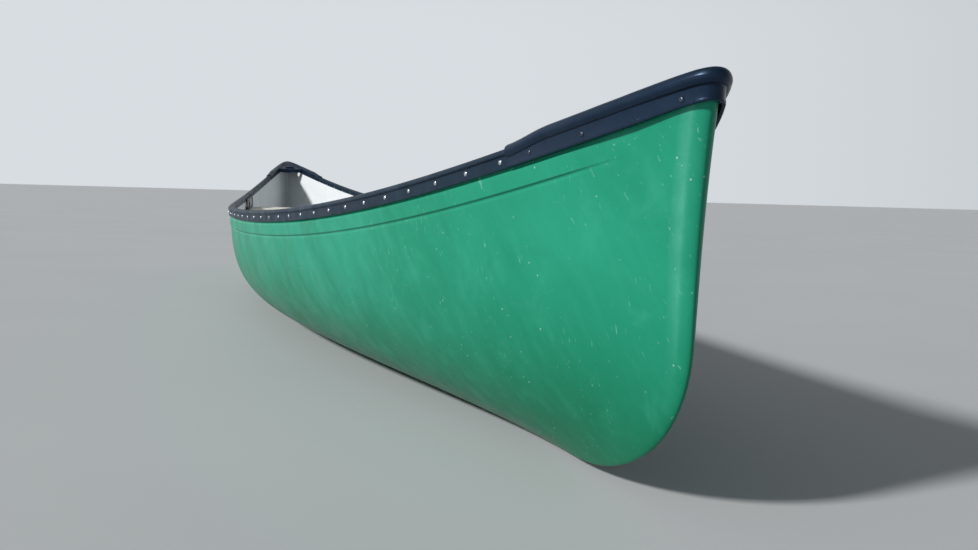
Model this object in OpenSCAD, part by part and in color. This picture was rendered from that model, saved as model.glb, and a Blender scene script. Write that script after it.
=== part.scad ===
// Open canoe for two: sandwich hull, vinyl gunwales, moulded end decks,
// two hung bench seats and a carrying yoke.
// X runs from stern (-) to bow (+), Y to port, Z up from the ground under the hull's centre.

/* [Hull] */
// Half of the hull moulding's length, stem to midships
half_length = 2434; // [2300:1:2600]
// Half of the hull's greatest breadth, at the gunwales midships
half_beam = 457; // [420:1:480]
// Gunwale height above the ground midships
centre_depth = 391; // [350:1:420]
// Gunwale height above the ground at the stems
end_height = 619; // [560:1:660]
// Rise of the keel line at the ends
rocker = 13; // [0:1:40]
// Depth of the keel panel that is cut off flat
bottom_flat = 1.5; // [1:0.5:3]
// Outer skin thickness
outer_skin = 2; // [1.5:0.5:3]
// Foam core thickness
foam_core = 3; // [2:0.5:5]
// Inner skin thickness
inner_skin = 1.5; // [1:0.5:3]

/* [Lines] */
// Power of the sheer curve: higher keeps midships flatter
sheer_power = 2.64; // [2:0.01:3.2]
// Fineness power of the plan curve
plan_power = 1.55; // [1.4:0.01:2]
// Fullness power of the plan curve
plan_fullness = 0.854; // [0.8:0.002:0.95]
// Half width of the rounded stem in plan
stem_radius = 10.5; // [9:0.5:14]
// Half length of the straight keel, before the forefoot
half_keel = 1993; // [1900:1:2100]
// Part of the end height that the forefoot's curve takes up
forefoot_part = 0.43; // [0.3:0.01:0.5]
// Forward flare of the stem's top
stem_flare = 32; // [15:1:60]

/* [Gunwales and decks] */
// Height of a gunwale's outer skirt
skirt_height = 33.5; // [28:0.5:40]
// Distance from midships to a gunwale's end, where the deck starts
gunwale_end = 2058; // [1990:1:2100]
// Height of the deck's rounded bead
bead_height = 21; // [18:1:24]
// Distance from midships to the inner edge of the deck's plate
plate_edge = 2262; // [2230:1:2290]
// Number of rivets along each gunwale
rivet_count = 40; // [30:2:48]

/* [Seats and yoke] */
// Bow seat's centre, forward of midships
bow_seat_x = 864; // [858:1:870]
// Stern seat's centre, behind midships
stern_seat_x = -1290; // [-1296:1:-1284]
// Seat depth, front to back
seat_depth = 240; // [220:1:244]
// Height of the bow seat's top above the ground
bow_seat_z = 326; // [310:1:335]
// Height of the stern seat's top above the ground
stern_seat_z = 371; // [350:1:378]
// Yoke's width at its ends, fore and aft
yoke_width = 64; // [56:1:70]
// Yoke's thickness
yoke_thickness = 20; // [16:1:24]

/* [Hidden] */
$fn = 32;
wall = outer_skin + foam_core + inner_skin;

// Numbers of stations along half of the hull and of strips up each side.
stations = 24;
strips = 9;
station_power = 2.1;
// Hull edge, below the gunwale's top.
edge_drop = 8;
// Small smoothing of the plan curve at midships.
mid_blend = 0.06;
// How bluntly the plan curve's ends are rounded.
nose_power = 250;
// Shapes of the forefoot's curve, of the stem's flare and of the skins' taper at the stem.
forefoot_power = 2.2;
flare_power = 4;
taper_power = 30;
// Powers of the cross section's curve, midships and at the stems.
mid_section = [3.03, 3.12];
end_section = [1.56, 1.71];

// Gunwale section, outward from the hull's outer face.
cap_out = 11.3;
cap_in = -13;
skirt_out = 7;
leg_in = -11;
leg_height = 26;
slot_out = 3.6;
slot_in = -7;
slot_top = 7;
stiffener_gap = 0.3;
stiffener_t = 3;

// Deck section.
deck_bead_out = 15;
deck_skirt_out = 8.5;
deck_wall = 3.5;
deck_leg_in = -8;
// Hem that turns in under the skirt, to just short of the hull.
hem_in = 1.2;
hem_t = 2;
// Plate between the beads, its depth below them and its turned-down edge.
plate_t = 4;
plate_depth = 9;
plate_end = half_length - 14;
plate_in_bead = 9;
lip_in_bead = 10;
plate_lip = 20;
// Hand-hold slot through the plate.
slot_behind_edge = 36;
slot_half = 14;
slot_r = 13;

// Fasteners.
rivet_r = 2.4;
rivet_drop = 21;
rivet_head_r = 4.5;
rivet_head_t = 2;
deck_rivet_x = [2115, 2232, 2402];
nose_grip = 7.2;
bolt_r = 3;
bolt_head_r = 6;
bolt_head_t = 2.4;
bolt_past = 8;
nut_r = 5.8;
nut_h = 6;
nut_flange = 1.1;
fit_gap = 0.2;
// Overlap of pieces that are welded together.
weld = 0.5;

// Seat pan and hangers.
pan_lip = 28;
pan_t = 5;
pan_corner = 30;
hanger_t = 4;
hanger_face = -12.4;
plate_top_drop = 15;
shelf_w = 34;
side_gap = 1.5;
seat_bolt_half = 52;

// Yoke and its brackets.
yoke_top = 32;
bracket_half = 82;
yoke_bolt_half = 18;
yoke_bolt_in = 30;
yoke_waist = 52;
yoke_rest = 100;
neck_r = 78;
neck_x = -92;
foot_w = 52;

// ---- Lines of the hull: u runs from -1 (stern) to 1 (bow) ----

// Distance along from midships, 0 to 1, smoothed at midships.
function along(u) =
    (sqrt(u * u + mid_blend * mid_blend) - mid_blend) / (sqrt(1 + mid_blend * mid_blend) - mid_blend);

// Half breadth at the gunwale, with the skin inset by t.
function beam_at(u, t = 0) =
    (stem_radius - t) * sqrt(max(0, 1 - pow(abs(u), nose_power)))
    + (half_beam - stem_radius) * pow(max(0, 1 - pow(along(u), plan_power)), plan_fullness);

// Gunwale height.
function sheer_at(u) = centre_depth + (end_height - centre_depth) * pow(abs(u), sheer_power);

// Keel line, before the flat is cut.
function keel_at(u) = rocker * pow(abs(u), 3) - bottom_flat;

// Half length of the hull at a share h of the height: forefoot curve, then the flaring stem.
function stem_at(h) =
    let (curve = sqrt(1 - pow(1 - min(h / forefoot_part, 1), forefoot_power)))
    half_keel + (half_length - stem_flare - half_keel) * curve + stem_flare * pow(h, flare_power);

// Share of the half breadth at a share h of the height: full midships, V shaped at the ends.
function section_at(h, u) =
    let (powers = mid_section + (end_section - mid_section) * pow(abs(u), 1.5))
    pow(1 - pow(1 - h, powers[0]), 1 / powers[1]);

// A point on the hull's skin: s runs from 0 at the keel to 1 at the edge, t is the inset.
function skin_point(u, s, side, t) =
    let (depth = sheer_at(u) - keel_at(u), h = pow(s, 3) * (1 - edge_drop / depth))
    [u * stem_at(h) - sign(u) * t * pow(abs(u), taper_power), side * beam_at(u, t) * section_at(h, u),
        max(t, keel_at(u) + t + (depth - t) * h)];

// Stations, closer together towards the stems.
function station(k) = sign(k) * (1 - pow(1 - abs(k) / stations, station_power));

// ---- Solids made from rings of points ----

function flat(lists) = [for (list = lists) each list];

// Two triangles for the quad between two rings.
function quad(a, b, c, d, turn) = turn ? [[a, b, d], [b, c, d]] : [[a, b, c], [a, c, d]];

// A closed bar: every ring has the same number of points, and the two end rings are capped.
module bar(rings) {
    n = len(rings[0]);
    m = len(rings);
    faces = flat([for (i = [0:m - 2], j = [0:n - 1])
        quad(i * n + j, i * n + (j + 1) % n, (i + 1) * n + (j + 1) % n, (i + 1) * n + j, i < m / 2)]);
    ends = [[for (j = [n - 1:-1:0]) j], [for (j = [0:n - 1]) (m - 1) * n + j]];
    polyhedron(points = flat(rings), faces = concat(faces, ends));
}

// A sheet of the hull between the insets t_out and t_in. The stem rings fold shut on the centre line.
module sheet(t_out, t_in) {
    last = 2 * stations;
    wide = 2 * strips;
    layer = (last + 1) * (wide + 1);
    points = [for (t = [t_out, t_in], i = [0:last], j = [0:wide])
        skin_point(station(i - stations), abs(j - strips) / strips, j < strips ? -1 : 1, t)];
    function at(k, i, j) =
        k * layer + i * (wide + 1) + (i == 0 || i == last ? min(j, wide - j) : j);
    skins = flat([for (i = [0:last - 1], j = [0:wide - 1])
        let (turn = (i < stations) == (j < strips))
        concat(quad(at(0, i, j), at(0, i + 1, j), at(0, i + 1, j + 1), at(0, i, j + 1), turn),
            quad(at(1, i, j + 1), at(1, i + 1, j + 1), at(1, i + 1, j), at(1, i, j), !turn))]);
    edges = flat([for (i = [0:last - 1])
        concat(quad(at(0, i + 1, 0), at(0, i, 0), at(1, i, 0), at(1, i + 1, 0), true),
            quad(at(0, i, wide), at(0, i + 1, wide), at(1, i + 1, wide), at(1, i, wide), true))]);
    polyhedron(points = points, faces = concat(skins, edges));
}

// ---- The sheer line as a path that the gunwales and decks follow ----

// A place on one side's sheer line.
function sheer_point(u, side) = [u * half_length, side * beam_at(u), sheer_at(u)];

// Mitred outward normal in plan at point i of a path that keeps the hull on its left.
function path_normal(path, i) =
    let (a = path[max(i - 1, 0)], b = path[i], c = path[min(i + 1, len(path) - 1)],
        d1 = i > 0 ? unit(b - a) : unit(c - b), d2 = i < len(path) - 1 ? unit(c - b) : d1,
        mid = unit(d1 + d2))
    [mid[1], -mid[0]] / (mid * d1);

function unit(v) = [v[0], v[1]] / norm([v[0], v[1]]);

// A section's ring at point i of a path: o is outward, v is above the sheer.
function ring_at(path, i, section) =
    let (normal = path_normal(path, i))
    [for (p = section) path[i] + [normal[0] * p[0], normal[1] * p[0], p[1]]];

// Starboard sheer from stern to bow between the gunwale's ends.
gunwale_u = gunwale_end / half_length;
gunwale_path = [for (u = concat([-gunwale_u],
    [for (k = [-stations:stations]) if (abs(station(k)) < gunwale_u - 0.01) station(k)], [gunwale_u]))
    sheer_point(u, -1)];

// Round the bow from starboard to port, finer at the nose.
deck_start = gunwale_end + 1;
deck_us = concat([deck_start / half_length],
    [for (k = [1:stations - 5]) if (station(k) > gunwale_u + 0.01) station(k)],
    [for (k = [stations - 4:0.5:stations - 0.5]) station(k)]);
deck_path = concat([for (u = deck_us) sheer_point(u, -1)], [sheer_point(1, 1)],
    [for (i = [len(deck_us) - 1:-1:0]) sheer_point(deck_us[i], 1)]);

// ---- Hull ----

// Drill the rivets' holes through both sides.
module drilled() {
    difference() {
        children();
        rivet_holes(concat(gunwale_rivets, deck_rivets, [for (place = deck_rivets) [-place[0], 0]]));
    }
}

module hull_outer_skin() {
    color([0.2, 0.6, 0.49])
        drilled() sheet(0, outer_skin);
}

module hull_foam_core() {
    color([0.85, 0.8, 0.62])
        drilled() sheet(outer_skin, outer_skin + foam_core);
}

module hull_inner_skin() {
    color([0.9, 0.92, 0.92])
        drilled() sheet(outer_skin + foam_core, wall);
}

// ---- Gunwales ----

gunwale_section = [[skirt_out, -skirt_height], [skirt_out, -12.5], [cap_out - 0.8, -11.5],
    [cap_out, -8.5], [cap_out - 1.6, -4.4], [7, -1.5], [2.5, -0.2], [-2.5, 0], [-7.5, -0.8],
    [-11, -3.2], [cap_in, -7.5], [cap_in + 0.4, -11], [leg_in, -12.5], [leg_in, -leg_height],
    [slot_in, -leg_height], [slot_in, -slot_top], [slot_out, -slot_top], [slot_out, -skirt_height]];

stiffener_section = [[stiffener_gap, -skirt_height + 2], [stiffener_gap + stiffener_t, -skirt_height + 2],
    [stiffener_gap + stiffener_t, -slot_top - 1], [stiffener_gap, -slot_top - 1]];

module along_gunwale(section) {
    bar([for (i = [0:len(gunwale_path) - 1]) ring_at(gunwale_path, i, section)]);
}

module starboard_gunwale() {
    drilled() along_gunwale(gunwale_section);
}

module starboard_stiffener() {
    drilled() along_gunwale(stiffener_section);
}

module gunwale_starboard() {
    color([0.13, 0.17, 0.23]) starboard_gunwale();
}

module gunwale_port() {
    color([0.13, 0.17, 0.23]) mirror([0, 1, 0]) starboard_gunwale();
}

module gunwale_stiffener_starboard() {
    color([0.75, 0.76, 0.78]) starboard_stiffener();
}

module gunwale_stiffener_port() {
    color([0.75, 0.76, 0.78]) mirror([0, 1, 0]) starboard_stiffener();
}

// ---- Decks ----

// The bead's top above the sheer: it steps up from the gunwale's cap and rises over a short way.
function bead_top(u) =
    let (rise = min(1, (u - deck_us[0]) * half_length / 100))
    5 + 7.8 * rise * rise * (3 - 2 * rise);

// How far a place is into the nose, 0 to 1.
function nose_share(u) = max(0, min(1, (u - 0.955) / 0.03));

// How far the skirt stands out from the hull: less round the nose.
function deck_skirt_at(u) = deck_skirt_out - 2.8 * nose_share(u);

// Section of bead, skirt and hem. Round the nose its inner side narrows with the hull, and the leg folds up.
function deck_section(u) =
    let (top = bead_top(u), low = top - bead_height, nose = nose_share(u), hem = 2.5 * nose - skirt_height,
        skirt = deck_skirt_at(u), bead = deck_bead_out - 1.5 * nose, inner = skirt - deck_wall,
        narrow = max(0.04, min(1, -0.6 * beam_at(u) / cap_in)), leg = deck_leg_in * narrow,
        leg_end = -leg_height + nose * (leg_height - 6))
    [[skirt, hem], [skirt, low - 1], [bead - 2.5, low], [bead, low + 5.5], [bead, top - 10], [bead - 2.5, top - 5],
        [7.5, top - 1.5], [1, top], [-5 * narrow, top - 0.8], [(cap_in + 2.5) * narrow, top - 3.5],
        [cap_in * narrow, top - 9], [cap_in * narrow, -13 + nose * 7.5], [leg - 3 * narrow, leg_end],
        [leg, leg_end], [leg, -5], [inner, -5], [inner, hem + hem_t], [hem_in, hem + hem_t], [hem_in, hem]];

// A box across the canoe at one station, inside the bead. Low and high are from the bead's top,
// and its upper face comes up to the bead at the nose.
function plate_ring(x, inset, low, high) =
    let (u = x / half_length, y = beam_at(u) - inset, z = sheer_at(u) + bead_top(u),
        top = high * (1 - 0.85 * nose_share(u)))
    [[x, y, z + low], [x, -y, z + low], [x, -y, z + top], [x, y, z + top]];

// The plate's stations, from its inner edge to the nose.
plate_xs = [for (k = [0:10]) plate_edge + k * (plate_end - plate_edge) / 10];

module deck() {
    difference() {
        union() {
            bar([for (i = [0:len(deck_path) - 1])
                ring_at(deck_path, i, deck_section(abs(deck_path[i][0]) / half_length))]);
            bar([for (x = plate_xs)
                plate_ring(x, min(plate_in_bead, beam_at(x / half_length) - 1.5), -plate_depth - plate_t,
                    -plate_depth)]);
            bar([for (x = [plate_edge, plate_edge + plate_t])
                plate_ring(x, lip_in_bead, -plate_depth - plate_lip, -plate_depth - 1.5)]);
        }
        translate([plate_edge + slot_behind_edge, 0, end_height / 2])
            hull()
                for (y = [-slot_half, slot_half]) translate([0, y, 0]) cylinder(r = slot_r, h = end_height);
        rivet_holes(deck_rivets);
    }
}

module bow_deck() {
    color([0.12, 0.16, 0.22]) deck();
}

module stern_deck() {
    color([0.12, 0.16, 0.22]) mirror([1, 0, 0]) deck();
}

// ---- Rivets ----

// Arc length along the sheer from midships, as [u, length] and [length, u].
arc_steps = 80;
arc_points = [for (i = [0:arc_steps]) sheer_point(i / arc_steps, -1)];
arc_by_u = [for (i = 0, sum = 0; i <= arc_steps;
    sum = sum + (i < arc_steps ? norm(arc_points[i + 1] - arc_points[i]) : 0), i = i + 1)
    [i / arc_steps, sum]];
arc_by_length = [for (pair = arc_by_u) [pair[1], pair[0]]];

// A rivet's place is [u, how deep it grips]. Hangers and brackets add their plate to the grip.
plate_in = hanger_t - hanger_face;
gunwale_grip = -leg_in + 0.1;
function near_plate(x) =
    abs(x - bow_seat_x) < seat_depth / 2 || abs(x - stern_seat_x) < seat_depth / 2
    || abs(x) < bracket_half;
rivet_reach = lookup((gunwale_end - 20) / half_length, arc_by_u);
gunwale_rivets = [for (k = [0:rivet_count - 1])
    let (s = rivet_reach * (2 * k / (rivet_count - 1) - 1), u = sign(s) * lookup(abs(s), arc_by_length))
    [u, near_plate(u * half_length) ? plate_in + fit_gap : gunwale_grip]];
deck_rivets = [for (x = deck_rivet_x) [x / half_length, x == max(deck_rivet_x) ? nose_grip : gunwale_grip]];

// Stand at a rivet's place on the starboard sheer, with +Z pointing outward.
hull_edge = [for (k = [-stations:stations]) sheer_point(station(k), -1)];
edge_y = [for (p = hull_edge) [p[0], p[1]]];
edge_z = [for (p = hull_edge) [p[0], p[2]]];
module at_rivet(u) {
    x = u * half_length;
    translate([x, lookup(x, edge_y), lookup(x, edge_z) - rivet_drop])
        rotate([90, 0, edge_turn(x, rivet_r)])
            children();
}

module rivet_holes(places) {
    for (side = [0, 1], place = places)
        mirror([0, side, 0])
            at_rivet(place[0]) bore(rivet_r, 18, 12);
}

// A round hole along Z, from deep below the place to high above it.
module bore(r, deep, high) {
    translate([0, 0, -deep]) cylinder(r = r, h = deep + high);
}

// A blind rivet: domed head on the skirt, shank, and a swelled end inside.
module rivet(out, deep) {
    rotate_extrude()
        polygon([[0, -deep - 3.5], [2.6, -deep - 3.2], [3.6, -deep - 1.6], [3.2, -deep],
            [rivet_r - 0.1, -deep], [rivet_r - 0.1, out + 0.05], [rivet_head_r, out + 0.05],
            [rivet_head_r - 0.3, out + 0.8], [rivet_head_r - 1.7, out + 1.6], [1.4, out + rivet_head_t],
            [0, out + rivet_head_t]]);
}

module starboard_rivets() {
    color([0.8, 0.82, 0.84])
        for (place = gunwale_rivets) at_rivet(place[0]) rivet(skirt_out, place[1]);
}

module gunwale_rivets_starboard() {
    starboard_rivets();
}

module gunwale_rivets_port() {
    mirror([0, 1, 0]) starboard_rivets();
}

module bow_deck_rivets() {
    color([0.8, 0.82, 0.84])
        for (side = [0, 1], place = deck_rivets)
            mirror([0, side, 0]) at_rivet(place[0]) rivet(deck_skirt_at(place[0]), place[1]);
}

module stern_deck_rivets() {
    mirror([1, 0, 0]) bow_deck_rivets();
}

// ---- Brackets that hang from the gunwales, drawn at the starboard wall ----

// Stand on the chord of the starboard edge round x, at ground height: +X forward, +Y inboard.
function edge_turn(x, half) = atan2(lookup(x + half, edge_y) - lookup(x - half, edge_y), 2 * half);
function chord_y(x, half) = (lookup(x + half, edge_y) + lookup(x - half, edge_y)) / 2;
module at_wall(x, half) {
    translate([x, chord_y(x, half), 0])
        rotate([0, 0, edge_turn(x, half)])
            children();
}

// A plate in the wall's plane, from a flat outline of [along, height].
module wall_plate() {
    translate([0, plate_in, 0])
        rotate([90, 0, 0])
            linear_extrude(hanger_t)
                children();
}

hanger_half = seat_depth / 2;

// One side's seat hanger: a plate with two windows under the gunwale, and a shelf under the seat.
module hanger(x, seat_z) {
    low = seat_z - pan_lip - hanger_t;
    back = lookup(x - hanger_half, edge_z) - plate_top_drop;
    front = lookup(x + hanger_half, edge_z) - plate_top_drop;
    post = 12;
    rail = 17;
    sill = low + pan_lip + 6;
    chamfer = 4;
    at_wall(x, hanger_half) {
        wall_plate()
            difference() {
                polygon([[-hanger_half, low], [hanger_half, low], [hanger_half, front], [-hanger_half, back]]);
                for (side = [0, 1])
                    let (top = (side == 0 ? front : back) - rail, end = hanger_half - post)
                    mirror([side, 0])
                        polygon([[post, sill], [end, sill], [end, top - chamfer], [end - chamfer, top],
                            [post + chamfer, top], [post, top - chamfer]]);
            }
        translate([-hanger_half, plate_in - weld, low]) cube([seat_depth, shelf_w, hanger_t]);
    }
}

module hanger_starboard(x, seat_z) {
    color([0.1, 0.11, 0.13])
        difference() {
            hanger(x, seat_z);
            rivet_holes(gunwale_rivets);
            seat_bolt_places(x, seat_z) bore(bolt_r + fit_gap, 30, 30);
        }
}

module bow_seat_hanger_starboard() {
    hanger_starboard(bow_seat_x, bow_seat_z);
}

module bow_seat_hanger_port() {
    mirror([0, 1, 0]) hanger_starboard(bow_seat_x, bow_seat_z);
}

module stern_seat_hanger_starboard() {
    hanger_starboard(stern_seat_x, stern_seat_z);
}

module stern_seat_hanger_port() {
    mirror([0, 1, 0]) hanger_starboard(stern_seat_x, stern_seat_z);
}

// ---- Seats ----

// A convex outline with its corners rounded by radius r, given counter-clockwise.
function rounded(corners, r) =
    let (n = len(corners))
    [for (i = [0:n - 1])
        let (p = corners[i], a = unit(corners[(i + n - 1) % n] - p), b = unit(corners[(i + 1) % n] - p),
            half = acos(a * b) / 2, centre = p + unit(a + b) * r / sin(half),
            start = p + a * r / tan(half) - centre, from = atan2(start[1], start[0]), step = (180 - 2 * half) / 5)
        for (k = [0:5]) centre + r * [cos(from + k * step), sin(from + k * step)]];

// The seat's outline between its hangers, pulled in by inset.
function seat_outline(x, inset) =
    let (turn = edge_turn(x, hanger_half), y = -chord_y(x, hanger_half) - (plate_in + fit_gap) / cos(turn),
        d = hanger_half - inset, slope = tan(turn), w = y - inset / cos(turn))
    [[-d, -w - slope * d], [d, -w + slope * d], [d, w - slope * d], [-d, w + slope * d]];

module seat(x, z) {
    color([0.93, 0.93, 0.9])
        difference() {
            translate([x, 0, z - pan_lip])
                linear_extrude(pan_lip) polygon(rounded(seat_outline(x, 0), pan_corner));
            translate([x, 0, z - pan_lip - 1])
                linear_extrude(pan_lip - pan_t + 1)
                    polygon(rounded(seat_outline(x, pan_t), pan_corner - pan_t));
            seat_bolt_places(x, z) bore(bolt_r + fit_gap, 30, 30);
        }
}

module bow_seat() {
    seat(bow_seat_x, bow_seat_z);
}

module stern_seat() {
    seat(stern_seat_x, stern_seat_z);
}

// Bolts through the hanger's plate and the seat's lip, with +Z pointing outward.
module seat_bolt_places(x, z) {
    for (side = [0, 1], along = [-seat_bolt_half, seat_bolt_half])
        mirror([0, side, 0])
            at_wall(x, hanger_half)
                translate([along, plate_in, z - pan_lip / 2]) rotate([90, 0, 0]) children();
}

// A bolt with a low domed head: grip is the clamped thickness under it.
module bolt(grip) {
    rotate_extrude()
        polygon([[0, -grip - bolt_past], [bolt_r, -grip - bolt_past], [bolt_r, 0], [bolt_head_r, 0],
            [bolt_head_r, bolt_head_t / 2], [bolt_head_r - 1.6, bolt_head_t], [0, bolt_head_t]]);
}

// A hexagon nut with a round flange, seated at the far side of the clamped thickness.
module nut(grip) {
    translate([0, 0, -grip - nut_h])
        difference() {
            union() {
                cylinder(r = nut_r, h = nut_h - nut_flange + 0.1, $fn = 6);
                translate([0, 0, nut_h - nut_flange]) cylinder(r = nut_r + 1.5, h = nut_flange);
            }
            bore(bolt_r + 0.05, 1, nut_h + 1);
        }
}

seat_grip = hanger_t + fit_gap + pan_t;

module seat_bolts(x, z) {
    color([0.78, 0.8, 0.82])
        seat_bolt_places(x, z) translate([0, 0, hanger_t]) bolt(seat_grip);
}

module seat_nuts(x, z) {
    color([0.78, 0.8, 0.82])
        seat_bolt_places(x, z) translate([0, 0, hanger_t]) nut(seat_grip);
}

module bow_seat_bolts() {
    seat_bolts(bow_seat_x, bow_seat_z);
}

module bow_seat_nuts() {
    seat_nuts(bow_seat_x, bow_seat_z);
}

module stern_seat_bolts() {
    seat_bolts(stern_seat_x, stern_seat_z);
}

module stern_seat_nuts() {
    seat_nuts(stern_seat_x, stern_seat_z);
}

// ---- Yoke ----

yoke_z = centre_depth - yoke_top;
yoke_half = -chord_y(0, bracket_half) - plate_in - side_gap;

module centre_yoke() {
    // Half outline: end, slim arm, shoulder rest.
    half = [[yoke_width / 2, yoke_half], [yoke_waist / 2, yoke_half * 0.72],
        [yoke_waist / 2 + 2, yoke_half * 0.48], [yoke_rest / 2 - 2, 150], [yoke_rest / 2, 105]];
    outline = concat([for (p = half) [p[0], -p[1]]], [for (i = [len(half) - 1:-1:0]) half[i]],
        [for (p = half) [-p[0], p[1]]], [for (i = [len(half) - 1:-1:0]) [-half[i][0], -half[i][1]]]);
    color([0.72, 0.52, 0.32])
        difference() {
            translate([0, 0, yoke_z - yoke_thickness])
                linear_extrude(yoke_thickness) polygon(outline);
            // Neck rest.
            translate([neck_x, 0, yoke_z]) bore(neck_r, yoke_thickness + 1, 1, $fn = 96);
            yoke_bolt_places() bore(bolt_r + fit_gap, 60, 20);
        }
}

// On the yoke's top face over its bolts, with +Z up.
module yoke_bolt_places() {
    for (side = [-1, 1], along = [-yoke_bolt_half, yoke_bolt_half])
        translate([along, side * (yoke_half - yoke_bolt_in), yoke_z]) children();
}

module yoke_bracket_starboard() {
    low = yoke_z - yoke_thickness - hanger_t;
    high = centre_depth - plate_top_drop;
    ear = high - 20;
    foot = yoke_width / 2 + 4;
    color([0.1, 0.11, 0.13])
        difference() {
            at_wall(0, bracket_half) {
                wall_plate()
                    polygon([[-foot, low], [foot, low], [bracket_half, ear], [bracket_half, high],
                        [-bracket_half, high], [-bracket_half, ear]]);
                translate([-foot, plate_in - weld, low]) cube([2 * foot, foot_w, hanger_t]);
            }
            rivet_holes(gunwale_rivets);
            yoke_bolt_places() bore(bolt_r + fit_gap, 60, 20);
        }
}

module yoke_bracket_port() {
    mirror([0, 1, 0]) yoke_bracket_starboard();
}

module yoke_bolts() {
    color([0.78, 0.8, 0.82])
        yoke_bolt_places() bolt(yoke_thickness + hanger_t);
}

module yoke_nuts() {
    color([0.78, 0.8, 0.82])
        yoke_bolt_places() nut(yoke_thickness + hanger_t);
}

hull_outer_skin();
hull_foam_core();
hull_inner_skin();
gunwale_port();
gunwale_starboard();
gunwale_stiffener_port();
gunwale_stiffener_starboard();
bow_deck();
stern_deck();
gunwale_rivets_port();
gunwale_rivets_starboard();
bow_deck_rivets();
stern_deck_rivets();
bow_seat();
bow_seat_hanger_port();
bow_seat_hanger_starboard();
bow_seat_bolts();
bow_seat_nuts();
stern_seat();
stern_seat_hanger_port();
stern_seat_hanger_starboard();
stern_seat_bolts();
stern_seat_nuts();
centre_yoke();
yoke_bracket_port();
yoke_bracket_starboard();
yoke_bolts();
yoke_nuts();
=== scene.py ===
"""The looks of an open two-person canoe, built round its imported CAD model.

Lengths are in metres. X runs from stern (-) to bow (+), Y to port, Z up.
"""
import math

import bpy
import numpy as np
from mathutils import Matrix, Vector


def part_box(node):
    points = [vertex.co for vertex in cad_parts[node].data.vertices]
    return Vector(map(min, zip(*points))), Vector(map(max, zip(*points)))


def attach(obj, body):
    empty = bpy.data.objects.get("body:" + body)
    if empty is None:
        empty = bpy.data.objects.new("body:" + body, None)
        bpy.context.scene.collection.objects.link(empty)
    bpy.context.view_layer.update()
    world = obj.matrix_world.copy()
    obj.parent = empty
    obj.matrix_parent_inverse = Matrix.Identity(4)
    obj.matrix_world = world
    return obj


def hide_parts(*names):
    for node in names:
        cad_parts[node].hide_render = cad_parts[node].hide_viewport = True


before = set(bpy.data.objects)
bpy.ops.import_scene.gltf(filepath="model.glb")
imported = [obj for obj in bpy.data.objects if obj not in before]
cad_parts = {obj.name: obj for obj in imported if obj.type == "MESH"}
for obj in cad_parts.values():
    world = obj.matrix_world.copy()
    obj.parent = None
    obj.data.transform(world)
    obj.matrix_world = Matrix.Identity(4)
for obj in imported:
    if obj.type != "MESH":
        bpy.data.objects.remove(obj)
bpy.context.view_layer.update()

MM = 0.001

# ---- Lines of the hull, as in the CAD model: u runs from -1 (stern) to 1 (bow) ----

HALF_LENGTH = 2.434
HALF_BEAM = 0.457
CENTRE_DEPTH = 0.391
END_HEIGHT = 0.619
ROCKER = 0.013
BOTTOM_FLAT = 1.5 * MM
STEM_RADIUS = 10.5 * MM
SHEER_POWER = 2.64
PLAN_POWER = 1.55
PLAN_FULLNESS = 0.854
MID_BLEND = 0.06
NOSE_POWER = 250
HALF_KEEL = 1.993
FOREFOOT_PART = 0.43
FOREFOOT_POWER = 2.2
STEM_FLARE = 0.032
FLARE_POWER = 4
TAPER_POWER = 30
OUTER_SKIN = 2 * MM
FOAM_CORE = 3 * MM
INNER_SKIN = 1.5 * MM
WALL = OUTER_SKIN + FOAM_CORE + INNER_SKIN

GUNWALE_END = 2.058
SKIRT_HEIGHT = 33.5 * MM


def along(u):
    """Distance from midships, 0 to 1, smoothed at midships."""
    return (np.sqrt(u * u + MID_BLEND ** 2) - MID_BLEND) / (math.sqrt(1 + MID_BLEND ** 2) - MID_BLEND)


def beam_at(u, inset=0.0):
    """Half breadth at the gunwale."""
    nose = (STEM_RADIUS - inset) * np.sqrt(np.maximum(0, 1 - np.abs(u) ** NOSE_POWER))
    plan = np.maximum(0, 1 - np.minimum(1, along(u)) ** PLAN_POWER) ** PLAN_FULLNESS
    return nose + (HALF_BEAM - STEM_RADIUS) * plan


def sheer_at(u):
    """Gunwale height."""
    return CENTRE_DEPTH + (END_HEIGHT - CENTRE_DEPTH) * np.abs(u) ** SHEER_POWER


def keel_at(u):
    """Keel line before the flat is cut."""
    return ROCKER * np.abs(u) ** 3 - BOTTOM_FLAT


def stem_at(h):
    """Half length of the hull at a share h of its height."""
    curve = np.sqrt(1 - (1 - np.minimum(h / FOREFOOT_PART, 1)) ** FOREFOOT_POWER)
    return HALF_KEEL + (HALF_LENGTH - STEM_FLARE - HALF_KEEL) * curve + STEM_FLARE * h ** FLARE_POWER


def section_at(h, u):
    """Share of the half breadth at a share h of the height."""
    end = np.abs(u) ** 1.5
    return (1 - (1 - h) ** (3.03 - 1.47 * end)) ** (1 / (3.12 - 1.41 * end))


def bow_stations(count, start=0.0, turn=0.985, nose_count=26):
    """Stations from start to the bow, with the rounded nose at even turns."""
    share = np.linspace(0, 1, count)
    straight = start + (turn - start) * (1 - (1 - share) ** 1.6)
    widest = math.sqrt(1 - turn ** NOSE_POWER)
    q = widest * np.linspace(1, 0, nose_count + 1)[1:] ** 2
    return np.concatenate([straight, (1 - q * q) ** (1 / NOSE_POWER)])


# ---- Mesh helpers ----

def smooth(low, high, x):
    """0 below low and 1 above high, with a smooth rise."""
    t = np.clip((np.asarray(x, float) - low) / (high - low), 0, 1)
    return t * t * (3 - 2 * t)


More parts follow.
